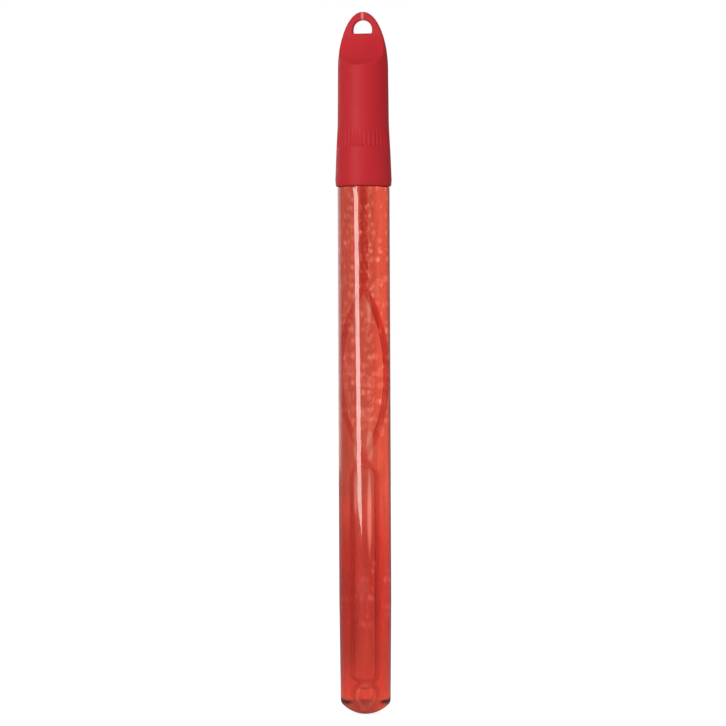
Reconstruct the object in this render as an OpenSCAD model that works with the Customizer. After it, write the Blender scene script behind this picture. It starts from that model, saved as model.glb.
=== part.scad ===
// Bubble wand: a domed clear tube of bubble solution, closed by a push-on handle cap that carries the wand.
// Millimetres. +Z runs up the tube's axis, and the origin is the lowest point of the domed end.
// The cap's flat hanging tab and the flat wand both lie in the XZ plane.

/* [Tube] */
// Outside radius of the straight part of the tube
tube_r = 13.65; // [13.4:0.05:13.8]
// Radius of the bore
bore_r = 11.6; // [11.4:0.05:11.9]
// Outside radius where the side runs into the domed end
foot_r = 13.1; // [12.9:0.05:13.3]
// Height where the tapered foot ends and the straight part starts
straight_z = 60; // [40:1:90]
// Height of the shoulder under the cap
shoulder_z = 275.9; // [270:0.1:276]
// Height of the neck's lip
lip_z = 296; // [295:0.1:296]
// Outside radius of the neck
neck_r = 12.7; // [12.6:0.05:12.75]
// How far the snap bead stands out of the neck
bead_h = 0.3; // [0.2:0.05:0.35]

/* [Bubble solution] */
// Height of the liquid's surface
liquid_z = 280; // [200:0.5:285]

/* [Cap] */
// Height of the whole object
top_z = 368; // [366:0.5:370]
// Radius of the body under the pointed top
cap_r = 13.18; // [13:0.02:13.3]
// Radius at the collar's lower edge
collar_r = 14.78; // [14.6:0.02:15]
// Number of flutes round the neck of the collar
flutes = 36; // [24:2:48]
// Thickness of the hanging tab
tab_t = 3.14; // [2.6:0.02:4]
// Radius of the finger scoops
scoop_r = 18.35; // [17:0.05:20]
// Radius of the hang eye's arch
eye_r = 5; // [4:0.1:5.2]

/* [Wand] */
// Thickness of the flat hoops
wand_t = 2.8; // [2.2:0.1:3]
// Radius of the stem
stem_r = 1.7; // [1.5:0.05:2]
// Radius of the stem between its beads
stem_neck_r = 0.7; // [0.6:0.05:1.2]
// Width of the bars that make the hoops
bar_w = 2.4; // [2:0.1:2.5]
// Half the width of the wide upper hoop
wide_hoop_w = 10.9; // [9:0.1:11]
// Half the width of the long lower hoop
long_hoop_w = 5.9; // [5.5:0.1:6]
// Outside radius of the tip ring
tip_r = 5.8; // [5.4:0.1:5.9]

/* [Hidden] */
$fn = 96;
crown_steps = 12;
knuckle_steps = 6;
round_steps = 4;
dome_steps = 24;
// How far a cut runs past what it cuts
over = 1;

// Domed end: a crown arc that a knuckle arc leads into the side
crown_r = 17;
knuckle_r = 4;
foot_wall = 2.05;
inner_foot_r = foot_r - foot_wall;
inner_crown_r = 14.6;
inner_knuckle_r = 2.6;
inner_floor_z = 3;
inner_taper_z = 60;
shoulder_round = 0.5;
lip_round = 0.35;
bead_z = 286;
bead_r = 0.9;

// Cap
cap_z = 276.2;
rim_r = 14.45;
rim_z = 279.5;
rim_chamfer = 0.4;
rim_inner_r = 13.2;
collar_top_z = 295.5;
collar_top_r = 14.15;
flare_top_z = 308;
flare_top_r = 13.48;
waist_z = 311;
waist_r = 13.42;
dome_z = 337.5;
skirt_r = 12.9;
lead_in = 0.6;
groove_gap = 0.2;
shelf_z = 298.2;
cavity_r = 11.6;
cavity_taper_z = 330;
roof_z = 337;
roof_r = 8.5;
flute_r = 0.75;
flute_axis_r = 14.25;
flute_low_z = 297;
flute_high_z = 306;
scoop_z = 356.7;
eye_z = 358.5;
eye_floor_z = 356.6;
cut = 40;

// Closure inside the cap
plug_r = 11.4;
plug_inner_r = 10;
plug_low_z = 290;
plug_chamfer = [0.5, 1];
disc_gap = 0.03;
disc_r = cavity_r - disc_gap;
disc_low_z = 298;
disc_t = 3;
socket_outer_r = 4.4;
socket_r = 2.6;
socket_top_z = 313;
seal_gap = 0.05;
seal_play = 0.1;
seal_inner_r = plug_r + seal_play;
seal_outer_r = neck_r - seal_gap;

// Wand
peg_r = 2.55;
peg_top_z = 312;
wide_hoop_z = 178.5;
wide_hoop_h = 47.5;
long_hoop_low_z = 16;
long_hoop_high_z = 131;
long_bar_w = 1.8;
tip_z = 11.3;
knot_r = 3;
stem_end_z = 222;
// Lower and upper end of each bead on the stem, which is plain above the last one
stem_beads = [[225.5, 231.2], [232.6, 237.3], [241, 252], [253.4, 257.7], [258.9, 263.5], [266.5, 275]];
stem_plain_z = 275.6;
stem_bead_steps = 8;

// Liquid: the wand's path up the middle is left clear, and it is wide where the wide hoop turns and lifts
liquid_gap = 0.05;
well_floor_z = 5;
well_r = 6.5;
well_top_z = 142;
path_r = 11.25;
path_z = 167;

// Points along an arc round centre c
function arc(c, r, from, to, steps) =
    [for (i = [0:steps]) c + r * [cos(from + (to - from) * i / steps), sin(from + (to - from) * i / steps)]];

// Height of the knuckle arc's centre, for a domed end that starts at floor
function knuckle_z(r, crown, knuckle, floor) =
    floor + crown - sqrt(pow(crown - knuckle, 2) - pow(r - knuckle, 2));

// Half outline of a domed end, from the axis out to where the side starts
function domed_end(r, crown, knuckle, floor) =
    let (kz = knuckle_z(r, crown, knuckle, floor),
         meet = -atan2(floor + crown - kz, r - knuckle))
    concat(arc([0, floor + crown], crown, -90, meet, crown_steps),
           arc([r - knuckle, kz], knuckle, meet, 0, knuckle_steps));

// Lens shape between two arcs, half_h tall and half_w wide each way, drawn in by inset
module lens(half_h, half_w, inset) {
    r = (half_h * half_h + half_w * half_w) / (2 * half_w);
    intersection_for (side = [-1, 1])
        translate([side * (r - half_w), 0]) circle(r - inset, $fn = 180);
}

module wide_hoop() {
    translate([0, wide_hoop_z]) difference() {
        lens(wide_hoop_h, wide_hoop_w, 0);
        lens(wide_hoop_h, wide_hoop_w, bar_w);
    }
}

// Straight sides with round ends, drawn in by inset
module long_oval(inset) {
    end_z = [long_hoop_low_z + long_hoop_w, long_hoop_high_z - long_hoop_w];
    half_w = long_hoop_w - inset;
    for (z = end_z) translate([0, z]) circle(half_w);
    translate([-half_w, end_z[0]]) square([2 * half_w, end_z[1] - end_z[0]]);
}

module long_hoop() {
    difference() {
        long_oval(0);
        long_oval(long_bar_w);
    }
}

// Stands an outline drawn in X and Z up in the XZ plane
module upright(thickness) {
    rotate([90, 0, 0]) linear_extrude(thickness, center = true) children();
}

module tube_outline() {
    polygon(concat(
        domed_end(foot_r, crown_r, knuckle_r, 0),
        [[tube_r, straight_z]],
        arc([tube_r - shoulder_round, shoulder_z - shoulder_round], shoulder_round, 0, 90, round_steps),
        [[neck_r, shoulder_z]],
        arc([neck_r - lip_round, lip_z - lip_round], lip_round, 0, 90, round_steps),
        [[0, lip_z]]));
    translate([neck_r + bead_h - bead_r, bead_z]) circle(bead_r, $fn = 48);
}

// Half outline of the bore, drawn in by gap and closed at height top
module bore_outline(gap, top) {
    side_r = bore_r - gap;
    polygon(concat(
        domed_end(inner_foot_r - gap, inner_crown_r - gap, inner_knuckle_r, inner_floor_z + gap),
        [[side_r, inner_taper_z], [side_r, top], [0, top]]));
}

module tube() {
    color([0.80, 0.22, 0.18, 0.55]) rotate_extrude() difference() {
        tube_outline();
        bore_outline(0, lip_z + over);
    }
}

module bubble_solution() {
    color([0.85, 0.30, 0.22, 0.45]) rotate_extrude() difference() {
        bore_outline(liquid_gap, liquid_z);
        polygon([[0, well_floor_z], [well_r, well_floor_z], [well_r, well_top_z],
                 [path_r, path_z], [path_r, liquid_z + over], [0, liquid_z + over]]);
    }
}

// Solid of the cap before the scoops, eye and flutes are cut
module cap_blank() {
    dome_h = top_z - dome_z;
    rotate_extrude() polygon(concat(
        [[0, cap_z], [rim_r - rim_chamfer, cap_z], [rim_r, cap_z + rim_chamfer], [collar_r, rim_z],
         [collar_top_r, collar_top_z], [flare_top_r, flare_top_z], [waist_r, waist_z], [cap_r, dome_z]],
        [for (i = [1:dome_steps])
            [cap_r * cos(90 * i / dome_steps), dome_z + dome_h * sin(90 * i / dome_steps)]]));
}

// Bore for the neck with its snap groove, and the hollow above it
module cap_hollow() {
    rotate_extrude() {
        polygon([[0, cap_z - over], [rim_inner_r, cap_z - over], [rim_inner_r, cap_z],
                 [skirt_r, cap_z + lead_in], [skirt_r, shelf_z], [cavity_r, shelf_z],
                 [cavity_r, cavity_taper_z], [roof_r, roof_z], [0, roof_z]]);
        translate([neck_r + bead_h - bead_r, bead_z]) circle(bead_r + groove_gap, $fn = 48);
    }
}

// Finger scoop on one side, +1 behind and -1 in front, which leaves the flat tab
module scoop(side) {
    face_y = side * tab_t / 2;
    translate([0, face_y + side * scoop_r, scoop_z]) rotate([0, 90, 0])
        cylinder(r = scoop_r, h = cut, center = true, $fn = 180);
    translate([-cut / 2, side > 0 ? face_y : face_y - cut, scoop_z]) cube([cut, cut, cut]);
}

module hang_eye() {
    upright(cut) {
        intersection() {
            translate([0, eye_z]) circle(eye_r);
            translate([-eye_r, eye_z]) square(2 * eye_r);
        }
        translate([-eye_r, eye_floor_z]) square([2 * eye_r, eye_z - eye_floor_z]);
    }
}

module cap() {
    color([0.78, 0.20, 0.22]) difference() {
        cap_blank();
        cap_hollow();
        scoop(-1);
        scoop(1);
        hang_eye();
        for (i = [0:flutes - 1])
            rotate(360 * i / flutes) translate([flute_axis_r, 0, flute_low_z])
                cylinder(r = flute_r, h = flute_high_z - flute_low_z, $fn = 24);
    }
}

module plug_insert() {
    disc_top_z = disc_low_z + disc_t;
    color([0.74, 0.19, 0.21]) rotate_extrude() difference() {
        polygon([[0, disc_low_z], [plug_inner_r, disc_low_z], [plug_inner_r, plug_low_z],
                 [plug_r - plug_chamfer[0], plug_low_z], [plug_r, plug_low_z + plug_chamfer[1]],
                 [plug_r, disc_low_z], [disc_r, disc_low_z], [disc_r, disc_top_z],
                 [socket_outer_r, disc_top_z], [socket_outer_r, socket_top_z], [0, socket_top_z]]);
        translate([-socket_r, disc_low_z - over]) square([2 * socket_r, cut]);
    }
}

module seal_ring() {
    color([0.92, 0.90, 0.88]) rotate_extrude()
        translate([seal_inner_r, lip_z + seal_gap])
            square([seal_outer_r - seal_inner_r, disc_low_z - lip_z - 2 * seal_gap]);
}

// Half outline of one bead: a blunt oval between its two ends
function bead_outline(ends) =
    [for (i = [0:stem_bead_steps])
        let (off = 2 * i / stem_bead_steps - 1)
        [stem_neck_r + (stem_r - stem_neck_r) * sqrt(1 - pow(off, 4)),
         ends[0] + (ends[1] - ends[0]) * i / stem_bead_steps]];

// Beaded stem, from inside the top of the wide hoop up into the peg
module stem() {
    stem_top_z = disc_low_z + over;
    rotate_extrude() polygon(concat(
        [[0, stem_end_z], [stem_neck_r, stem_end_z]],
        [for (ends = stem_beads) each bead_outline(ends)],
        [[stem_r, stem_plain_z], [stem_r, stem_top_z], [0, stem_top_z]]));
}

module wand() {
    color([0.62, 0.10, 0.11]) {
        translate([0, 0, disc_low_z]) cylinder(r = peg_r, h = peg_top_z - disc_low_z);
        stem();
        upright(wand_t) {
            wide_hoop();
            long_hoop();
            translate([0, tip_z]) difference() {
                circle(tip_r);
                circle(tip_r - bar_w);
            }
            for (z = [long_hoop_low_z, long_hoop_high_z])
                translate([0, z]) circle(knot_r);
        }
    }
}

tube();
bubble_solution();
cap();
plug_insert();
seal_ring();
wand();
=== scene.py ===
"""Looks of the bubble wand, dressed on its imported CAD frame. Metres, +Z up the tube, -Y in front."""

import math

import bpy
import numpy as np
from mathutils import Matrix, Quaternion, Vector


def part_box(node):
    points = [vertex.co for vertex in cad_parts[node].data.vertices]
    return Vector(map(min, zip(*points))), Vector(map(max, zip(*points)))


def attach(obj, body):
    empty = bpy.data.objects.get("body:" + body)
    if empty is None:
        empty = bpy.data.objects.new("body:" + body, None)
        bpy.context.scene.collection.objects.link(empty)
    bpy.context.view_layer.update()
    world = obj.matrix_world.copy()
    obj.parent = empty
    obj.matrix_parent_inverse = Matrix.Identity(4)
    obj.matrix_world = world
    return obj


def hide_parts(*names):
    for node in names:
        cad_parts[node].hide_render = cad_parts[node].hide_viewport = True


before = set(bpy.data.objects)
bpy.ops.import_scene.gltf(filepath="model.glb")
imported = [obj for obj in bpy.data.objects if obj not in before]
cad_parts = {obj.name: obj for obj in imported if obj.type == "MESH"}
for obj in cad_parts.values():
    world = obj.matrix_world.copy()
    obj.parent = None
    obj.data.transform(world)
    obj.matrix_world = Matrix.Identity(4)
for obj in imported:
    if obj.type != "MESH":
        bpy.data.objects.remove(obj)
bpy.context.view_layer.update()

MM = 0.001

# Gaps in the CAD: between the liquid and the bore, and between the shoulder and the cap
LIQUID_GAP = 0.05 * MM
CAP_GAP = 0.3 * MM

# Sizes read from the frame
TUBE_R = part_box("tube")[1].x
LIP_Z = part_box("tube")[1].z
BORE_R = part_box("bubble_solution")[1].x + LIQUID_GAP
LIQUID_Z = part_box("bubble_solution")[1].z
CAP_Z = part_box("cap")[0].z
TOP_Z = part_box("cap")[1].z
COLLAR_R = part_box("cap")[1].x
WIDE_HOOP_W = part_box("wand")[1].x
WAND_TIP_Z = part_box("wand")[0].z

# Tube, as in the CAD
FOOT_R = 13.1 * MM
STRAIGHT_Z = 60 * MM
SHOULDER_Z = CAP_Z - CAP_GAP
SHOULDER_ROUND = 0.5 * MM
NECK_R = 12.7 * MM
LIP_ROUND = 0.35 * MM
CROWN_R = 17 * MM
KNUCKLE_R = 4 * MM
INNER_FOOT_R = 11.05 * MM
INNER_CROWN_R = 14.6 * MM
INNER_KNUCKLE_R = 2.6 * MM
INNER_FLOOR_Z = 3 * MM
BEAD_Z = 286 * MM
BEAD_H = 0.3 * MM

# Half the height of the neck's bead, a little more than in the CAD
BEAD_HALF = 0.8 * MM

# Liquid: it reaches a hair into the wall, so no air shows between them
LIQUID_OVERLAP = 0.04 * MM
MENISCUS = 0.5 * MM

# Cap, as in the CAD
CAP_R = 13.18 * MM
RIM_R = 14.45 * MM
RIM_Z = 279.5 * MM
COLLAR_TOP_Z = 295.5 * MM
COLLAR_TOP_R = 14.15 * MM
FLARE_TOP_Z = 308 * MM
FLARE_TOP_R = 13.48 * MM
WAIST_Z = 311 * MM
WAIST_R = 13.42 * MM
DOME_Z = 337.5 * MM
SKIRT_R = 12.9 * MM
SHELF_Z = 298.2 * MM
CAVITY_R = 11.6 * MM
ROOF_Z = 337 * MM
GROOVE_R = 1.1 * MM
GROOVE_INSET = 0.6 * MM
FLUTES = 36
FLUTE_R = 0.75 * MM
FLUTE_AXIS_R = 14.25 * MM
FLUTE_LOW_Z = 297 * MM
FLUTE_HIGH_Z = 306 * MM
SCOOP_R = 18.35 * MM
SCOOP_Z = 356.7 * MM
TAB_T = 3.14 * MM
EYE_R = 5 * MM
EYE_Z = 358.5 * MM
EYE_FLOOR_Z = 356.6 * MM

# How far the cap's edges are rounded over
RIM_BLEND = 0.9 * MM
BORE_BLEND = 0.3 * MM
SCOOP_BLEND = 0.55 * MM
EYE_CORNER = 0.8 * MM
EYE_BLEND = 1.0 * MM
FLUTE_END = 0.4 * MM
FLUTE_BLEND = 0.3 * MM

# Wand, as in the CAD
WAND_T = 2.8 * MM
PEG_R = 2.55 * MM
PEG_LOW_Z = 298 * MM
PEG_TOP_Z = 312 * MM
STEM_R = 1.7 * MM
STEM_NECK_R = 0.7 * MM
STEM_BEADS = [(225.5, 231.2), (232.6, 237.3), (241, 252), (253.4, 257.7), (258.9, 263.5), (266.5, 275)]
BAR_W = 2.4 * MM
WIDE_HOOP_Z = 178.5 * MM
WIDE_HOOP_H = 47.5 * MM
LONG_HOOP_LOW_Z = 16 * MM
LONG_HOOP_HIGH_Z = 131 * MM
LONG_HOOP_W = 5.9 * MM
LONG_BAR_W = 1.8 * MM
TIP_R = 5.8 * MM
KNOT_R = 3 * MM

# How the wand's bars are rounded and run into each other
BAR_CORNER = 0.75 * MM
HOOP_END_BLEND = 0.6 * MM
JOIN_BLEND = 0.8 * MM
STEM_BLEND = 1.2 * MM
PEG_BLEND = 0.5 * MM
STEM_IN_HOOP = 5 * MM
STEM_IN_PEG = 1 * MM
BEAD_MARGIN_MM = 0.25

# How finely shapes are drawn
TURN_STEPS = 160
CROWN_STEPS = 20
KNUCKLE_STEPS = 12
ROUND_STEPS = 6
BEAD_STEPS = 8
MENISCUS_STEPS = 8
FOOT_SPANS = 10
SIDE_SPANS = 40
CREASE_ANGLE = 50
CAP_STEP = 0.42 * MM
WAND_STEP = 0.32 * MM
ON_AXIS = 1e-7

# Surface nets: margins, reach and slope step are in grid steps
NET_MARGIN_LOW = 1.5
NET_MARGIN_HIGH = 2.5
NET_REACH = 0.5
NET_SLOPE_STEP = 0.05
NET_PASSES = 3
FLATTEST = 0.05
NOT_ZERO = 1e-9

# The photograph's frame: pixel rows of the top and bottom of the object, and the column of its axis
PHOTO_SIZE = 726
TOP_ROW = 11.8
BOTTOM_ROW = 713.7
AXIS_COLUMN = 364.3
CAMERA_AZIMUTH = 11
CAMERA_DISTANCE = 2.2
SENSOR_WIDTH = 36
LEAN = 0.25

# Level directions as the camera sees them
PICTURE_RIGHT = (math.cos(math.radians(CAMERA_AZIMUTH)), math.sin(math.radians(CAMERA_AZIMUTH)), 0)
PICTURE_AWAY = (-PICTURE_RIGHT[1], PICTURE_RIGHT[0], 0)
PICTURE_FRONT = (PICTURE_RIGHT[1], -PICTURE_RIGHT[0], 0)


# Shapes

def arc(centre, radius, start, end, steps):
    """Points along an arc, angles in degrees."""
    angles = [math.radians(start + (end - start) * i / steps) for i in range(steps + 1)]
    return [(centre[0] + radius * math.cos(a), centre[1] + radius * math.sin(a)) for a in angles]


def domed_end(r, crown, knuckle, floor):
    """Half outline of a domed end, from the axis out to where the side starts."""
    knuckle_z = floor + crown - math.sqrt((crown - knuckle) ** 2 - (r - knuckle) ** 2)
    meet = -math.degrees(math.atan2(floor + crown - knuckle_z, r - knuckle))
    crown_arc = arc((0, floor + crown), crown, -90, meet, CROWN_STEPS)
    knuckle_arc = arc((r - knuckle, knuckle_z), knuckle, meet, 0, KNUCKLE_STEPS)
    return crown_arc + knuckle_arc[1:]


def spaced(a, b, count):
    """Points between a and b, without either end."""
    shares = [i / (count + 1) for i in range(1, count + 1)]
    return [(a[0] + (b[0] - a[0]) * share, a[1] + (b[1] - a[1]) * share) for share in shares]


def new_mesh_object(name, points, faces):
    mesh = bpy.data.meshes.new(name)
    mesh.from_pydata(points, [], faces)
    mesh.update()
    for polygon in mesh.polygons:
        polygon.use_smooth = True
    obj = bpy.data.objects.new(name, mesh)
    bpy.context.scene.collection.objects.link(obj)
    return obj


def turned(name, outline):
    """Closed body: a half outline, from the axis back to the axis, turned about Z. Sharp edges stay."""
    points, rings = [], []
    for r, z in outline:
        if r < ON_AXIS:
            rings.append([len(points)])
            points.append((0, 0, z))
            continue
        rings.append(list(range(len(points), len(points) + TURN_STEPS)))
        for i in range(TURN_STEPS):
            turn = 2 * math.pi * i / TURN_STEPS
            points.append((r * math.cos(turn), r * math.sin(turn), z))
    faces = []
    for low, high in zip(rings, rings[1:]):
        for i in range(TURN_STEPS):
            j = (i + 1) % TURN_STEPS
            if len(low) == 1:
                faces.append((low[0], high[j], high[i]))
            elif len(high) == 1:
                faces.append((low[i], low[j], high[0]))
            else:
                faces.append((low[i], low[j], high[j], high[i]))
    obj = new_mesh_object(name, points, faces)
    obj.data.set_sharp_from_angle(angle=math.radians(CREASE_ANGLE))
    return obj


def smooth_max(a, b, blend):
    """The larger of two distances, rounded over where they are closer than blend."""
    near = np.maximum(blend - np.abs(a - b), 0) / blend
    return np.maximum(a, b) + near * near * blend / 4


def smooth_min(a, b, blend):
    """The smaller of two distances, rounded over in the same way."""
    return -smooth_max(-a, -b, blend)


def slopes(distance, points, tiny):
    """Gradient of a distance at each point."""
    out = np.zeros_like(points)
    for k in range(3):
        offset = np.zeros(3)
        offset[k] = tiny
        out[:, k] = (distance(*(points + offset).T) - distance(*(points - offset).T)) / (2 * tiny)
    return out


def settled(distance, points, step):
    """Points moved onto the surface where the distance is zero, and the normals there."""
    reach = NET_REACH * step
    tiny = NET_SLOPE_STEP * step
    for _ in range(NET_PASSES):
        gradient = slopes(distance, points, tiny)
        size = np.maximum((gradient ** 2).sum(1), FLATTEST)
        move = -distance(*points.T)[:, None] * gradient / size[:, None]
        points = points + np.clip(move, -reach, reach)
    normals = slopes(distance, points, tiny)
    normals /= np.maximum(np.linalg.norm(normals, axis=1), NOT_ZERO)[:, None]
    return points, normals


def surface_net(name, distance, low, high, step):
    """Closed mesh of the surface where distance(x, y, z) is zero, drawn on a grid, then moved onto it."""
    before = NET_MARGIN_LOW * step
    beyond = NET_MARGIN_HIGH * step
    axes = [np.arange(a - before, b + beyond, step) for a, b in zip(low, high)]
    shape = tuple(len(a) for a in axes)
    field = distance(axes[0][:, None, None], axes[1][None, :, None], axes[2][None, None, :])
    field = np.broadcast_to(field, shape)
    inside = field < 0
    total = np.zeros((int(np.prod(shape)), 3))
    count = np.zeros(int(np.prod(shape)))
    quads = []
    for axis in range(3):
        near_side = [slice(0, -1) if k == axis else slice(None) for k in range(3)]
        far_side = [slice(1, None) if k == axis else slice(None) for k in range(3)]
        crossed = inside[tuple(near_side)] != inside[tuple(far_side)]
        where = np.argwhere(crossed)
        start = field[tuple(where.T)]
        after = where.copy()
        after[:, axis] += 1
        end = field[tuple(after.T)]
        crossing = np.stack([axes[k][where[:, k]] for k in range(3)], 1)
        crossing[:, axis] += step * start / (start - end)
        u, v = (axis + 1) % 3, (axis + 2) % 3
        corners = []
        for du, dv in ((0, 0), (1, 0), (1, 1), (0, 1)):
            cell = where.copy()
            cell[:, u] -= du
            cell[:, v] -= dv
            flat = np.ravel_multi_index(tuple(cell.T), shape)
            np.add.at(total, flat, crossing)
            np.add.at(count, flat, 1)
            corners.append(flat)
        ring = np.stack(corners, 1)
        ring[start > 0] = ring[start > 0][:, ::-1]
        quads.append(ring)
    used = np.flatnonzero(count)
    order = np.zeros(len(count), int)
    order[used] = np.arange(len(used))
    points, normals = settled(distance, total[used] / count[used, None], step)
    obj = new_mesh_object(name, points.tolist(), order[np.concatenate(quads)].tolist())
    obj.data.normals_split_custom_set_from_vertices(normals.tolist())
    return obj


# Shader nodes

NOISE_LOW, NOISE_HIGH = 0.3, 0.7
WHITE = (1, 1, 1, 1)
BLACK = (0, 0, 0, 1)


class Graph:
    """A tree of shader nodes, with a short way to add each kind that is used here."""

    def __init__(self, tree):
        self.nodes = tree.nodes
        self.links = tree.links

    def put(self, socket, value):
        """Links a socket to another node's output, or sets it to a plain value."""
        if isinstance(value, bpy.types.NodeSocket):
            self.links.new(value, socket)
        else:
            socket.default_value = value

    def place(self, kind="Object"):
        """A point's place in its object, or with Generated a direction in the world."""
        return self.nodes.new("ShaderNodeTexCoord").outputs[kind]

    def axes(self, vector):
        """The X, Y and Z parts of a vector."""
        node = self.nodes.new("ShaderNodeSeparateXYZ")
        self.put(node.inputs["Vector"], vector)
        return node.outputs

    def maths(self, operation, *values):
        """A sum done on links or plain numbers."""
        node = self.nodes.new("ShaderNodeMath")
        node.operation = operation
        for socket, value in zip(node.inputs, values):
            self.put(socket, value)
        return node.outputs["Value"]

    def vector(self, operation, *values):
        """A sum done on vectors. A dot product and a length give a number."""
        node = self.nodes.new("ShaderNodeVectorMath")
        node.operation = operation
        for socket, value in zip(node.inputs, values):
            self.put(socket, value)
        return node.outputs["Value" if operation in ("DOT_PRODUCT", "LENGTH") else "Vector"]

    def span(self, value, low, high, to_low=0, to_high=1):
        """Maps low to high onto to_low to to_high, and stays within those."""
        node = self.nodes.new("ShaderNodeMapRange")
        for name, number in (("From Min", low), ("From Max", high), ("To Min", to_low), ("To Max", to_high)):
            node.inputs[name].default_value = number
        self.put(node.inputs["Value"], value)
        return node.outputs["Result"]

    def noise(self, name, scale, stretch=(1, 1, 1), detail=3):
        """Noise in the object's own space, stretched along its axes."""
        mapping = self.nodes.new("ShaderNodeMapping")
        mapping.inputs["Scale"].default_value = stretch
        self.put(mapping.inputs["Vector"], self.place())
        texture = self.nodes.new("ShaderNodeTexNoise")
        texture.name = name
        texture.inputs["Scale"].default_value = scale
        texture.inputs["Detail"].default_value = detail
        self.put(texture.inputs["Vector"], mapping.outputs["Vector"])
        return texture.outputs["Fac"]

    def spread(self, noise, low, high):
        """Maps noise from its usual span onto low to high."""
        return self.span(noise, NOISE_LOW, NOISE_HIGH, low, high)

    def ramp(self, value, stops):
        """Colour at a value of 0 to 1, from (value, colour) stops. A plain number stands for a grey."""
        node = self.nodes.new("ShaderNodeValToRGB")
        elements = node.color_ramp.elements
        while len(elements) < len(stops):
            elements.new(1)
        for element, (position, colour) in zip(elements, stops):
            parts = [colour] * 3 if isinstance(colour, (int, float)) else colour
            element.position = position
            element.color = (*parts, 1)
        self.put(node.inputs["Fac"], value)
        return node.outputs["Color"]

    def ramp_along(self, value, low, high, stops):
        """Colour at a value of low to high, from (value, colour) stops."""
        shares = [((stop - low) / (high - low), colour) for stop, colour in stops]
        return self.ramp(self.span(value, low, high), shares)

    def by_height(self, stops):
        """Colour by height in the object, from (mm, colour) stops that start at zero."""
        height = self.axes(self.place())["Z"]
        return self.ramp_along(height, 0, stops[-1][0] * MM, [(z * MM, colour) for z, colour in stops])

    def mix(self, share, a, b, blend="MIX"):
        """A colour that goes from a to b as the share goes to 1, or from a to their product."""
        node = self.nodes.new("ShaderNodeMix")
        node.data_type = "RGBA"
        node.blend_type = blend
        self.put(node.inputs["Factor"], share)
        self.put(node.inputs["A"], a)
        self.put(node.inputs["B"], b)
        return node.outputs["Result"]

    def choose(self, switch, yes, no):
        """The value yes where switch is one, the value no where it is zero."""
        node = self.nodes.new("ShaderNodeMix")
        self.put(node.inputs["Factor"], switch)
        self.put(node.inputs["A"], no)
        self.put(node.inputs["B"], yes)
        return node.outputs["Result"]

    def bump(self, shader, height, strength, depth):
        """Gives a shader fine relief."""
        node = self.nodes.new("ShaderNodeBump")
        node.inputs["Strength"].default_value = strength
        node.inputs["Distance"].default_value = depth
        self.put(node.inputs["Height"], height)
        self.put(shader.inputs["Normal"], node.outputs["Normal"])


def material(name):
    """A new material, its graph and its shader."""
    mat = bpy.data.materials.new(name)
    mat.use_nodes = True
    return mat, Graph(mat.node_tree), mat.node_tree.nodes["Principled BSDF"]


# Opaque plastics and the seal

CAP_DARK = (0.565, 0.021, 0.029, 1)
CAP_LIGHT = (0.61, 0.027, 0.036, 1)
CAP_SHINE = 0.12
CLOSURE_DARK = (0.50, 0.026, 0.034, 1)
CLOSURE_LIGHT = (0.56, 0.034, 0.042, 1)
CLOSURE_SHINE = 0.2
SEAL_DARK = (0.70, 0.67, 0.63, 1)
SEAL_LIGHT = (0.86, 0.84, 0.81, 1)
# A pale streak on the tab above the hang eye
STREAK_COLOUR = (0.72, 0.26, 0.24, 1)
STREAK_CORE = 0.2 * MM
STREAK_EDGE = 0.9 * MM
STREAK_LOW_Z = 362 * MM
STREAK_HIGH_Z = 364 * MM


def moulded_plastic(name, dark, light, shine):
    """Opaque satin plastic: faint flow marks in its colour, uneven gloss and a fine mould grain."""
    mat, graph, shader = material(name)
    flow = graph.noise("Flow", scale=60, stretch=(1, 1, 0.35), detail=4)
    patches = graph.noise("Patches", scale=220)
    grain = graph.noise("Grain", scale=2600, detail=2)
    graph.put(shader.inputs["Base Color"], graph.mix(graph.spread(flow, 0, 1), dark, light))
    graph.put(shader.inputs["Roughness"], graph.spread(patches, 0.40, 0.50))
    graph.bump(shader, grain, strength=0.12, depth=0.05 * MM)
    shader.inputs["Specular IOR Level"].default_value = shine
    return mat, graph, shader


def pale_streak(graph):
    """One along a pale streak on the tab above the hang eye, zero elsewhere."""
    axes = graph.axes(graph.place())
    narrow = graph.span(graph.maths("ABSOLUTE", axes["X"]), STREAK_EDGE, STREAK_CORE)
    above = graph.span(axes["Z"], STREAK_LOW_Z, STREAK_HIGH_Z)
    return graph.maths("MULTIPLY", narrow, above)


def cap_plastic():
    """The cap's satin plastic, with a pale streak above the hang eye."""
    mat, graph, shader = moulded_plastic("cap_red", CAP_DARK, CAP_LIGHT, CAP_SHINE)
    plain = shader.inputs["Base Color"].links[0].from_socket
    graph.put(shader.inputs["Base Color"], graph.mix(pale_streak(graph), plain, STREAK_COLOUR))
    return mat


def soft_seal():
    """Pale foam with fine cells."""
    mat, graph, shader = material("soft_seal")
    cells = graph.noise("Cells", scale=1800, detail=2)
    graph.put(shader.inputs["Base Color"], graph.mix(cells, SEAL_DARK, SEAL_LIGHT))
    graph.put(shader.inputs["Roughness"], graph.spread(cells, 0.6, 0.85))
    graph.bump(shader, cells, strength=0.3, depth=0.1 * MM)
    return mat


# Bubble marks: pale marks painted on the liquid for the foam on the wall, as painted highlights and
# reflections of its cells. Places on the wall are degrees to the right of the front, and heights in mm

HALF_TURN = 180
MARKS_TOP = 300
OVAL_EDGE = 0.8
BUBBLE_STRETCH = 1.5
BUBBLE_SCATTER = 0.85

# Levels from the middle of a bubble outwards
FILLED = [(0, 1), (0.3, 0.9), (0.5, 0)]
RINGED = [(0, 0.6), (0.24, 0.6), (0.36, 1), (0.5, 0)]
RING = [(0, 0), (0.45, 0.05), (0.66, 1), (OVAL_EDGE, 0)]
LOBE = [(0, 1), (0.5, 0.8), (OVAL_EDGE, 0)]
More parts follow.
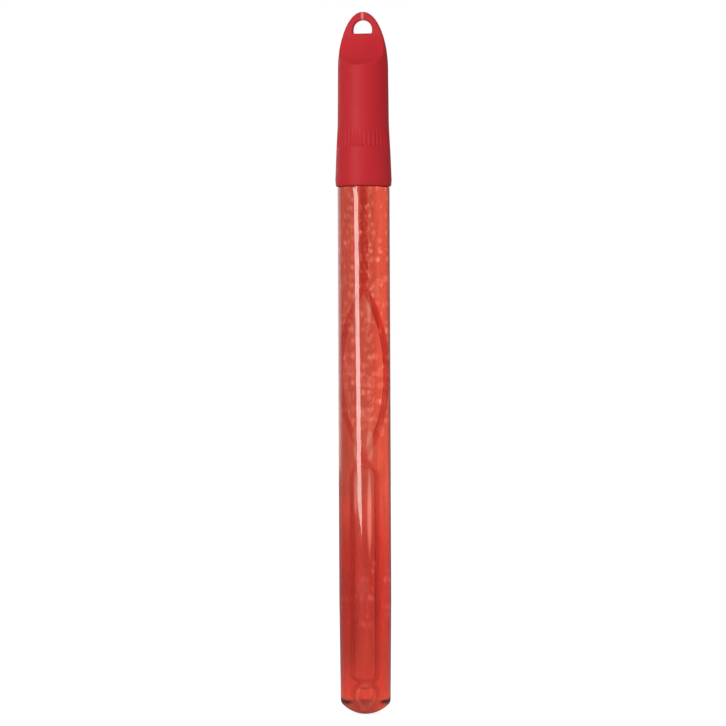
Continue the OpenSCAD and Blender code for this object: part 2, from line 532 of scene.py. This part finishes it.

# Scattered bubble marks, painted glints: the size of a cell in mm, and the share of cells that hold one
FINE_CELL = 3.1
FINE_TURNS = [(-180, 0.5), (-60, 0.4), (-50, 0.7), (-35, 0.7), (-30, 0.15), (-21, 0.15), (-2, 0.3),
              (4, 0.95), (22, 0.9), (27, 0.3), (60, 0.3), (180, 0.5)]
FINE_HEIGHTS = [(0, 0), (40, 0), (47, 0.4), (76, 0.4), (80, 0), (146, 0), (156, 0.9), (272, 1)]
FINEST_CELL = 1.9
FINEST_TURNS = [(-180, 0), (0, 0), (3, 0.8), (19, 0.8), (22, 0), (180, 0)]
FINEST_HEIGHTS = [(0, 0), (150, 0), (155, 0.5), (215, 0.6), (272, 0.85)]
LARGE_CELL = 5.2
LARGE_TURNS = [(-180, 0.4), (-33, 0.1), (-20, 0), (2, 0.2), (8, 0.7), (24, 0.7), (28, 0.1), (180, 0.4)]
LARGE_HEIGHTS = [(0, 0), (146, 0), (150, 1), (206, 1), (212, 0.2), (270, 0.2)]

# Placed marks, all painted light: middle, half size and levels. Film reflections are painted reflections of
# soap films in the wand's hoops; rims and highlights are painted bubble rims, a painted pale ring over the
# wand's tip ring and two painted highlights on it; glint columns are painted glints of rows of foam cells
FILM_REFLECTIONS = [((-23, 214), (5.5, 9.5), LOBE), ((11.5, 212), (6, 8.5), LOBE),
         ((-22, 141), (6.5, 10), LOBE), ((12.5, 141), (10.5, 10.5), LOBE),
         ((-23, 117), (5.5, 15), LOBE), ((11, 106), (6.5, 27), LOBE)]
RIMS_AND_HIGHLIGHTS = [((16, 160.8), (6, 2.9), RING), ((22, 156), (6, 3), RING), ((0, 10.3), (29, 6.8), RING),
         ((15, 5.6), (8, 1.3), LOBE), ((-16, 4.4), (7, 1.1), LOBE)]
SMALL_GLINT_COLUMN = [((-30 + z % 2, z), (4.6, 1.8), LOBE) for z in range(224, 272, 5)]
LARGE_GLINT_COLUMN = [((-30 + z % 3, z), (6.0, 3.0), LOBE) for z in range(146, 208, 7)]

# How strongly the painted glints show, by height
CLEAR_HEIGHTS = [(0, 0.6), (25, 0.6), (45, 0.25), (76, 0.25), (92, 1)]


def wall_place(graph):
    """A point's place on the tube's wall: degrees to the right of the front, and height in mm."""
    place = graph.place()
    right = graph.vector("DOT_PRODUCT", place, PICTURE_RIGHT)
    front = graph.vector("DOT_PRODUCT", place, PICTURE_FRONT)
    both = graph.nodes.new("ShaderNodeCombineXYZ")
    graph.put(both.inputs["X"], graph.maths("ARCTAN2", right, front))
    graph.put(both.inputs["Y"], graph.axes(place)["Z"])
    return graph.vector("MULTIPLY", both.outputs["Vector"], (math.degrees(1), 1 / MM, 0))


def oval(graph, place, middle, half, stops):
    """A soft oval on the wall. Stops give its level from the middle, at 0, to OVAL_EDGE."""
    away = graph.vector("SUBTRACT", place, (*middle, 0))
    scaled = graph.vector("MULTIPLY", away, (OVAL_EDGE / half[0], OVAL_EDGE / half[1], 0))
    return graph.ramp(graph.vector("LENGTH", scaled), stops)


def marks(graph, place, ovals):
    """Level of the strongest of some ovals at each place."""
    level = 0
    for middle, half, stops in ovals:
        level = graph.maths("MAXIMUM", level, oval(graph, place, middle, half, stops))
    return level


def dots(graph, place, cell, stops, turns, heights):
    """Tall painted glints of foam cells on the wall, at most one in a cell of cell mm. Turns and heights
    give their share.
    """
    cells_across = math.radians(1) * BORE_R / MM / cell
    cells_up = 1 / (BUBBLE_STRETCH * cell)
    cells = graph.nodes.new("ShaderNodeTexVoronoi")
    cells.voronoi_dimensions = "2D"
    cells.inputs["Scale"].default_value = 1
    cells.inputs["Randomness"].default_value = BUBBLE_SCATTER
    graph.put(cells.inputs["Vector"], graph.vector("MULTIPLY", place, (cells_across, cells_up, 0)))
    chance = graph.nodes.new("ShaderNodeSeparateColor")
    graph.put(chance.inputs["Color"], cells.outputs["Color"])
    size = graph.span(chance.outputs["Red"], -1, 1)
    level = graph.ramp(graph.maths("DIVIDE", cells.outputs["Distance"], size), stops)
    axes = graph.axes(place)
    across = graph.ramp_along(axes["X"], -HALF_TURN, HALF_TURN, turns)
    up = graph.ramp_along(axes["Y"], 0, MARKS_TOP, heights)
    here = graph.maths("LESS_THAN", chance.outputs["Green"], graph.maths("MULTIPLY", across, up))
    return graph.maths("MULTIPLY", level, here)


def bubble_glints(graph):
    """Level of all the painted glints, reflections and highlights on the liquid's side."""
    place = wall_place(graph)
    level = dots(graph, place, FINE_CELL, FILLED, FINE_TURNS, FINE_HEIGHTS)
    large = dots(graph, place, LARGE_CELL, RINGED, LARGE_TURNS, LARGE_HEIGHTS)
    finest = dots(graph, place, FINEST_CELL, FILLED, FINEST_TURNS, FINEST_HEIGHTS)
    placed = marks(graph, place, FILM_REFLECTIONS + RIMS_AND_HIGHLIGHTS + SMALL_GLINT_COLUMN + LARGE_GLINT_COLUMN)
    for other in (large, finest, placed):
        level = graph.maths("MAXIMUM", level, other)
    clear = graph.ramp_along(graph.axes(place)["Y"], 0, MARKS_TOP, CLEAR_HEIGHTS)
    return graph.maths("MULTIPLY", level, clear)


# Clear materials

TUBE_DARK = (0.87, 0.405, 0.335, 1)
TUBE_LIGHT = (0.92, 0.455, 0.38, 1)
TUBE_IOR = 1.49
# How far the painted film reflections also whiten the tube's own colour
TUBE_REFLECTION_SHARE = 0.5

# Colours by height in mm. The liquid's paler colours at the very foot are painted light on the dome.
LIQUID_COLOURS = [(0, (0.60, 0.22, 0.16)), (6, (0.56, 0.18, 0.12)), (14, (0.51, 0.115, 0.072)),
                  (35, (0.48, 0.100, 0.060)), (55, (0.475, 0.078, 0.050)),
                  (88, (0.53, 0.110, 0.075)), (130, (0.73, 0.375, 0.295))]
LIQUID_IOR = 1.33
WAND_COLOURS = [(0, (0.94, 0.58, 0.55)), (148, (0.94, 0.58, 0.55)), (184, (0.94, 0.36, 0.36)),
                (222, (0.93, 0.36, 0.36)), (232, (0.86, 0.26, 0.27)), (312, (0.86, 0.26, 0.27))]
# Less than plastic has in liquid, for soft edges
WAND_IOR = 1.06


def clear_plastic():
    """The tube's tinted clear plastic, with the faint waviness and streaks of a drawn wall, and painted film
    reflections that whiten its colour in places.
    """
    mat, graph, shader = material("clear_red_tube")
    streaks = graph.noise("Streaks", scale=420, stretch=(1, 1, 0.14), detail=4)
    plain = graph.mix(graph.spread(streaks, 0, 1), TUBE_DARK, TUBE_LIGHT)
    # Painted reflections: pale lobes of the soap films mixed into the tube's colour
    pale = graph.maths("MULTIPLY", marks(graph, wall_place(graph), FILM_REFLECTIONS), TUBE_REFLECTION_SHARE)
    graph.put(shader.inputs["Base Color"], graph.mix(pale, plain, WHITE))
    shader.inputs["Transmission Weight"].default_value = 1
    shader.inputs["IOR"].default_value = TUBE_IOR
    waves = graph.noise("Waves", scale=90, stretch=(1, 1, 0.16), detail=2)
    haze = graph.noise("Haze", scale=300, stretch=(1, 1, 0.4))
    graph.put(shader.inputs["Roughness"], graph.spread(haze, 0.02, 0.06))
    graph.bump(shader, waves, strength=0.12, depth=0.4 * MM)
    return mat


def liquid():
    """Soapy water that has taken up the tube's red. Painted glints and reflections of the foam on its side
    leave it paler, and painted light leaves it paler at the very foot.
    """
    mat, graph, shader = material("bubble_liquid")
    streaks = graph.noise("Streaks", scale=500, stretch=(1, 1, 0.1), detail=4)
    tint = graph.mix(1, graph.by_height(LIQUID_COLOURS), graph.spread(streaks, 0.82, 1.18), "MULTIPLY")
    # Painted highlights and reflections whiten the liquid's colour here
    graph.put(shader.inputs["Base Color"], graph.mix(bubble_glints(graph), tint, WHITE))
    shader.inputs["Transmission Weight"].default_value = 1
    shader.inputs["IOR"].default_value = LIQUID_IOR
    clouds = graph.noise("Clouds", scale=140, stretch=(1, 1, 0.6))
    graph.put(shader.inputs["Roughness"], graph.spread(clouds, 0.0, 0.05))
    return mat


def clear_red_wand():
    """The wand's translucent red plastic, paler in its lower half."""
    mat, graph, shader = material("wand_red")
    flow = graph.noise("Flow", scale=80, stretch=(1, 1, 0.35), detail=4)
    colour = graph.mix(1, graph.by_height(WAND_COLOURS), graph.spread(flow, 0.94, 1.06), "MULTIPLY")
    graph.put(shader.inputs["Base Color"], colour)
    shader.inputs["Transmission Weight"].default_value = 0.92
    shader.inputs["IOR"].default_value = WAND_IOR
    shader.inputs["Coat Weight"].default_value = 0.4
    shader.inputs["Coat Roughness"].default_value = 0.2
    graph.put(shader.inputs["Roughness"], graph.spread(flow, 0.2, 0.3))
    return mat


CAP_RED = cap_plastic()
CLOSURE_RED = moulded_plastic("closure_red", CLOSURE_DARK, CLOSURE_LIGHT, CLOSURE_SHINE)[0]
WAND_RED = clear_red_wand()
CLEAR_RED = clear_plastic()
LIQUID = liquid()
SEAL = soft_seal()


def paint(obj, mat):
    obj.data.materials.clear()
    obj.data.materials.append(mat)


def dress(obj, mat, body, node):
    """Gives a piece its material and body, and puts it in the place of a CAD node."""
    paint(obj, mat)
    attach(obj, body)
    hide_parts(node)


# Tube and liquid

def tube_wall():
    """The wall of the tube: its outside from the dome to the lip, and back down its inside."""
    outside = domed_end(FOOT_R, CROWN_R, KNUCKLE_R, 0)
    outside += spaced(outside[-1], (TUBE_R, STRAIGHT_Z), FOOT_SPANS) + [(TUBE_R, STRAIGHT_Z)]
    outside += spaced((TUBE_R, STRAIGHT_Z), (TUBE_R, SHOULDER_Z - SHOULDER_ROUND), SIDE_SPANS)
    shoulder = (TUBE_R - SHOULDER_ROUND, SHOULDER_Z - SHOULDER_ROUND)
    outside += arc(shoulder, SHOULDER_ROUND, 0, 90, ROUND_STEPS)
    outside += [(NECK_R, SHOULDER_Z)]
    for i in range(BEAD_STEPS + 1):
        share = i / BEAD_STEPS
        outside += [(NECK_R + BEAD_H * math.sin(math.pi * share), BEAD_Z + BEAD_HALF * (2 * share - 1))]
    outside += arc((NECK_R - LIP_ROUND, LIP_Z - LIP_ROUND), LIP_ROUND, 0, 90, ROUND_STEPS)
    inside = domed_end(INNER_FOOT_R, INNER_CROWN_R, INNER_KNUCKLE_R, INNER_FLOOR_Z)
    inside += spaced(inside[-1], (BORE_R, STRAIGHT_Z), FOOT_SPANS) + [(BORE_R, STRAIGHT_Z)]
    inside += spaced((BORE_R, STRAIGHT_Z), (BORE_R, LIP_Z), SIDE_SPANS) + [(BORE_R, LIP_Z)]
    return turned("tube_wall", outside + inside[::-1])


def liquid_column():
    """The whole body of liquid, with a meniscus round its top."""
    side_r = BORE_R + LIQUID_OVERLAP
    outline = domed_end(INNER_FOOT_R + LIQUID_OVERLAP, INNER_CROWN_R + LIQUID_OVERLAP, INNER_KNUCKLE_R,
                        INNER_FLOOR_Z - LIQUID_OVERLAP)
    outline += [(side_r, STRAIGHT_Z), (side_r, LIQUID_Z)]
    for i in range(1, MENISCUS_STEPS + 1):
        turn = math.pi / 2 * i / MENISCUS_STEPS
        outline += [(side_r - 2 * MENISCUS * (1 - math.cos(turn)), LIQUID_Z - MENISCUS * math.sin(turn))]
    return turned("liquid_column", outline + [(0, LIQUID_Z - MENISCUS)])


dress(tube_wall(), CLEAR_RED, "tube", "tube")
dress(liquid_column(), LIQUID, "tube", "bubble_solution")


# Cap

def cap_distance(x, y, z):
    """Distance from the cap's surface, less than zero inside the plastic."""
    rho = np.sqrt(x * x + y * y)
    heights = [CAP_Z, RIM_Z, COLLAR_TOP_Z, FLARE_TOP_Z, WAIST_Z, DOME_Z]
    radii = [RIM_R, COLLAR_R, COLLAR_TOP_R, FLARE_TOP_R, WAIST_R, CAP_R]
    side = rho - np.interp(z, heights, radii)
    dome_h = TOP_Z - DOME_Z
    up = np.maximum(z - DOME_Z, 0)
    ellipse = np.sqrt((rho / CAP_R) ** 2 + (up / dome_h) ** 2)
    steepness = np.sqrt((rho / CAP_R ** 2) ** 2 + (up / dome_h ** 2) ** 2) + NOT_ZERO
    dome = ellipse * (ellipse - 1) / steepness
    body = smooth_max(np.where(z > DOME_Z, dome, side), CAP_Z - z, RIM_BLEND)

    bore = np.maximum(rho - np.where(z < SHELF_Z, SKIRT_R, CAVITY_R), z - ROOF_Z)
    groove = np.sqrt((rho - NECK_R + GROOVE_INSET) ** 2 + (z - BEAD_Z) ** 2) - GROOVE_R
    body = smooth_max(body, -np.minimum(bore, groove), BORE_BLEND)

    depth = np.abs(y) - TAB_T / 2
    round_part = np.sqrt((depth - SCOOP_R) ** 2 + (z - SCOOP_Z) ** 2) - SCOOP_R
    scoop = np.where(z > SCOOP_Z, -depth, round_part)
    body = smooth_max(body, -scoop, SCOOP_BLEND)

    arch = np.sqrt(x * x + (z - EYE_Z) ** 2) - EYE_R
    arch = np.where(z > EYE_Z, arch, np.abs(x) - EYE_R)
    eye = smooth_max(arch, EYE_FLOOR_Z - z, EYE_CORNER)
    body = smooth_max(body, -eye, EYE_BLEND)

    pitch = 2 * math.pi / FLUTES
    turn = np.mod(np.arctan2(y, x) + pitch / 2, pitch) - pitch / 2
    flute = np.sqrt((rho * np.cos(turn) - FLUTE_AXIS_R) ** 2 + (rho * np.sin(turn)) ** 2) - FLUTE_R
    middle_z = (FLUTE_LOW_Z + FLUTE_HIGH_Z) / 2
    half_h = (FLUTE_HIGH_Z - FLUTE_LOW_Z) / 2
    flute = smooth_max(flute, np.abs(z - middle_z) - half_h, FLUTE_END)
    return smooth_max(body, -flute, FLUTE_BLEND)


cap_low, cap_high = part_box("cap")
handle_cap = surface_net("handle_cap", cap_distance, cap_low, cap_high, CAP_STEP)
dress(handle_cap, CAP_RED, "cap", "cap")


# Wand

def bar_distance(across, y, width):
    """A bar of rounded square section, as wide as width and as deep as the wand is thick."""
    a = np.abs(across) - (width / 2 - BAR_CORNER)
    b = np.abs(y) - (WAND_T / 2 - BAR_CORNER)
    outer = np.sqrt(np.maximum(a, 0) ** 2 + np.maximum(b, 0) ** 2) + np.minimum(np.maximum(a, b), 0)
    return outer - BAR_CORNER


def stem_radius(z):
    """Radius of the stem: long beads with necks between them, and plain above."""
    share = np.where(z > STEM_BEADS[-1][1] * MM, 1.0, 0.0)
    for low, high in STEM_BEADS:
        off = np.abs(z / MM - (low + high) / 2) / ((high - low) / 2 + BEAD_MARGIN_MM)
        share = np.maximum(share, np.sqrt(np.maximum(1 - off ** 4, 0)))
    return STEM_NECK_R + (STEM_R - STEM_NECK_R) * share


def wand_distance(x, y, z):
    """Distance from the wand's surface, less than zero inside the plastic."""
    arm_r = (WIDE_HOOP_H ** 2 + WIDE_HOOP_W ** 2) / (2 * WIDE_HOOP_W)
    side = np.abs(x) + arm_r - WIDE_HOOP_W
    up = z - WIDE_HOOP_Z
    wide = bar_distance(np.sqrt(side ** 2 + up ** 2) - arm_r + BAR_W / 2, y, BAR_W)
    wide = smooth_max(wide, np.abs(up) - WIDE_HOOP_H, HOOP_END_BLEND)

    end_low = LONG_HOOP_LOW_Z + LONG_HOOP_W
    end_high = LONG_HOOP_HIGH_Z - LONG_HOOP_W
    beyond = z - np.clip(z, end_low, end_high)
    reach = np.sqrt(x * x + beyond ** 2)
    long = bar_distance(reach - LONG_HOOP_W + LONG_BAR_W / 2, y, LONG_BAR_W)

    ring = np.sqrt(x * x + (z - WAND_TIP_Z - TIP_R) ** 2)
    tip = bar_distance(ring - TIP_R + BAR_W / 2, y, BAR_W)

    body = smooth_min(np.minimum(wide, long), tip, JOIN_BLEND)
    for knot_z in (LONG_HOOP_LOW_Z, LONG_HOOP_HIGH_Z):
        knot = np.sqrt(x * x + (z - knot_z) ** 2) - KNOT_R
        body = smooth_min(body, smooth_max(knot, np.abs(y) - WAND_T / 2, JOIN_BLEND), JOIN_BLEND)

    rho = np.sqrt(x * x + y * y)
    stem_low = WIDE_HOOP_Z + WIDE_HOOP_H - STEM_IN_HOOP
    stem_ends = np.maximum(stem_low - z, z - PEG_LOW_Z - STEM_IN_PEG)
    stem = smooth_max(rho - stem_radius(z), stem_ends, JOIN_BLEND)
    body = smooth_min(body, stem, STEM_BLEND)
    peg = smooth_max(rho - PEG_R, np.maximum(PEG_LOW_Z - z, z - PEG_TOP_Z), PEG_BLEND)
    return np.minimum(body, peg)


wand_low, wand_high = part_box("wand")
wand_hoops = surface_net("wand_hoops", wand_distance, wand_low, wand_high, WAND_STEP)
dress(wand_hoops, WAND_RED, "cap", "wand")


# Closure and seal keep their CAD shapes

paint(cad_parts["plug_insert"], CLOSURE_RED)
paint(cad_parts["seal_ring"], SEAL)


# Studio: lamps are placed in degrees to the right of the camera

KEY_CORNERS = [(-32, 75), (-13.5, 54), (-31, 460), (-51, 460)]
KEY_GLOW = (1, 0.98, 0.96, 1)
FLOOR_GREY = (0.4, 0.4, 0.4, 1)
FLOOR_HALF = 4.0
FLOOR_GLOW = 0.85
# Seen through clear pieces, the floor has one brightness near the foot and the room's further out
NEAR_GLOW = 1.4
NEAR_REACH = 0.15
FAR_REACH = 0.5
CLEAR_BOUNCES = 24
TRANSPARENT_BOUNCES = 32

# Brightness of the room from the left of the picture, at -1, to its right, at 1
THROUGH_SCALE = 2
THROUGH_ROOM = [(-1, 0.5), (-0.75, 0.5), (-0.66, 0.9), (-0.56, 1.45), (-0.3, 1.45), (-0.18, 1.05), (0, 1.0),
                (0.25, 0.95), (0.4, 0.95), (0.55, 0.8), (0.75, 0.66), (1, 0.66)]
GLOSS_ROOM = [(-1, 0.25), (-0.6, 0.2), (-0.2, 0.14), (0.2, 0.12), (0.45, 0.06), (1, 0.06)]
BEHIND_ROOM = [(-1, 1.1), (-0.3, 1.1), (0.1, 0.3), (1, 0.08)]
BEHIND_FROM = 0.35
BEHIND_FULL = 0.75
DIFFUSE_ROOM = [(-1, 0.70), (0, 0.66), (1, 0.48)]


def camera():
    """Stands where the photograph was taken from, and frames the object as it does."""
    metres_per_pixel = TOP_Z / (BOTTOM_ROW - TOP_ROW)
    data = bpy.data.cameras.new("camera")
    data.sensor_width = SENSOR_WIDTH
    data.lens = SENSOR_WIDTH * CAMERA_DISTANCE / (PHOTO_SIZE * metres_per_pixel)
    obj = bpy.data.objects.new("camera", data)
    bpy.context.scene.collection.objects.link(obj)
    middle = Vector((0, 0, (BOTTOM_ROW - PHOTO_SIZE / 2) * metres_per_pixel))
    middle += Vector(PICTURE_RIGHT) * (PHOTO_SIZE / 2 - AXIS_COLUMN) * metres_per_pixel
    obj.location = middle + Vector(PICTURE_FRONT) * CAMERA_DISTANCE
    obj.rotation_mode = "QUATERNION"
    roll = Quaternion((0, 0, 1), math.radians(-LEAN))
    obj.rotation_quaternion = Vector(PICTURE_AWAY).to_track_quat("-Z", "Y") @ roll
    bpy.context.scene.camera = obj


def toward(side):
    """Level direction from the object's axis, side degrees to the right of the camera."""
    turn = math.radians(CAMERA_AZIMUTH + side)
    return Vector((math.sin(turn), -math.cos(turn), 0))


def softbox(name, corners, distance, radiance):
    """A flat lamp in front. Its corners are degrees to the right of the camera, and heights in mm."""
    points = [toward(side) * distance + Vector((0, 0, height * MM)) for side, height in corners]
    obj = new_mesh_object(name, points, [(0, 1, 2, 3)])
    mat, _, shader = material(name + "_glow")
    shader.inputs["Base Color"].default_value = BLACK
    shader.inputs["Emission Color"].default_value = KEY_GLOW
    shader.inputs["Emission Strength"].default_value = radiance
    obj.data.materials.append(mat)
    obj.visible_camera = False
    obj.visible_diffuse = False
    obj.visible_transmission = False


def panel(name, side, distance, middle_z, width, height, radiance):
    """An upright rectangular lamp that faces the object's axis, side degrees to the right of the camera."""
    data = bpy.data.lights.new(name, "AREA")
    data.shape = "RECTANGLE"
    data.size = width
    data.size_y = height
    data.energy = radiance * math.pi * width * height
    obj = bpy.data.objects.new(name, data)
    bpy.context.scene.collection.objects.link(obj)
    obj.location = toward(side) * distance + Vector((0, 0, middle_z))
    obj.rotation_mode = "QUATERNION"
    obj.rotation_quaternion = toward(side).to_track_quat("Z", "Y")
    obj.visible_camera = False
    obj.visible_glossy = False
    obj.visible_transmission = False


def share_of(graph, direction, axis):
    """How far a direction points along an axis, -1 to 1."""
    return graph.vector("DOT_PRODUCT", graph.vector("NORMALIZE", direction), axis)


def across_room(graph, direction, stops, scale=1):
    """Brightness of the room by how far a direction points to the right of the picture, -1 to 1."""
    share = share_of(graph, direction, PICTURE_RIGHT)
    level = graph.ramp_along(share, -1, 1, [(side, level / scale) for side, level in stops])
    return graph.maths("MULTIPLY", level, scale)


def studio_world():
    """A white background for the camera, and a room for each other kind of ray."""
    world = bpy.data.worlds.new("studio")
    world.use_nodes = True
    bpy.context.scene.world = world
    graph = Graph(world.node_tree)
    back = graph.nodes["Background"]
    back.inputs["Color"].default_value = WHITE
    path = graph.nodes.new("ShaderNodeLightPath").outputs
    direction = graph.place("Generated")
    level = across_room(graph, direction, DIFFUSE_ROOM)
    gloss = across_room(graph, direction, GLOSS_ROOM)
    behind = across_room(graph, direction, BEHIND_ROOM)
    through = across_room(graph, direction, THROUGH_ROOM, THROUGH_SCALE)
    away = share_of(graph, direction, PICTURE_AWAY)
    gloss = graph.choose(graph.span(away, BEHIND_FROM, BEHIND_FULL), behind, gloss)
    level = graph.choose(path["Is Glossy Ray"], gloss, level)
    level = graph.choose(path["Is Transmission Ray"], through, level)
    level = graph.choose(path["Is Camera Ray"], 1, level)
    graph.put(back.inputs["Strength"], level)


def floor():
    """A pale floor. Through clear pieces it is as bright as the room, except near the foot."""
    mat, graph, shader = material("pale_floor")
    shader.inputs["Base Color"].default_value = FLOOR_GREY
    shader.inputs["Roughness"].default_value = 1
    shader.inputs["Specular IOR Level"].default_value = 0
    shader.inputs["Emission Color"].default_value = WHITE
    path = graph.nodes.new("ShaderNodeLightPath").outputs
    direction = graph.place()
    through = across_room(graph, direction, THROUGH_ROOM, THROUGH_SCALE)
    far = graph.span(graph.vector("LENGTH", direction), NEAR_REACH, FAR_REACH)
    through = graph.choose(far, through, NEAR_GLOW)
    glow = graph.choose(path["Is Transmission Ray"], through, 0)
    glow = graph.choose(path["Is Camera Ray"], FLOOR_GLOW, glow)
    graph.put(shader.inputs["Emission Strength"], glow)
    corners = [(x * FLOOR_HALF, y * FLOOR_HALF, 0) for x, y in ((-1, -1), (1, -1), (1, 1), (-1, 1))]
    obj = new_mesh_object("pale_floor", corners, [(0, 1, 2, 3)])
    obj.data.materials.append(mat)


camera()
softbox("key_softbox", KEY_CORNERS, distance=1.0, radiance=9.8)
panel("fill", side=-12, distance=1.4, middle_z=0.3, width=0.9, height=0.9, radiance=4.6)
studio_world()
floor()
scene = bpy.context.scene
scene.view_settings.view_transform = "Standard"
scene.cycles.max_bounces = CLEAR_BOUNCES
scene.cycles.transmission_bounces = CLEAR_BOUNCES
scene.cycles.transparent_max_bounces = TRANSPARENT_BOUNCES
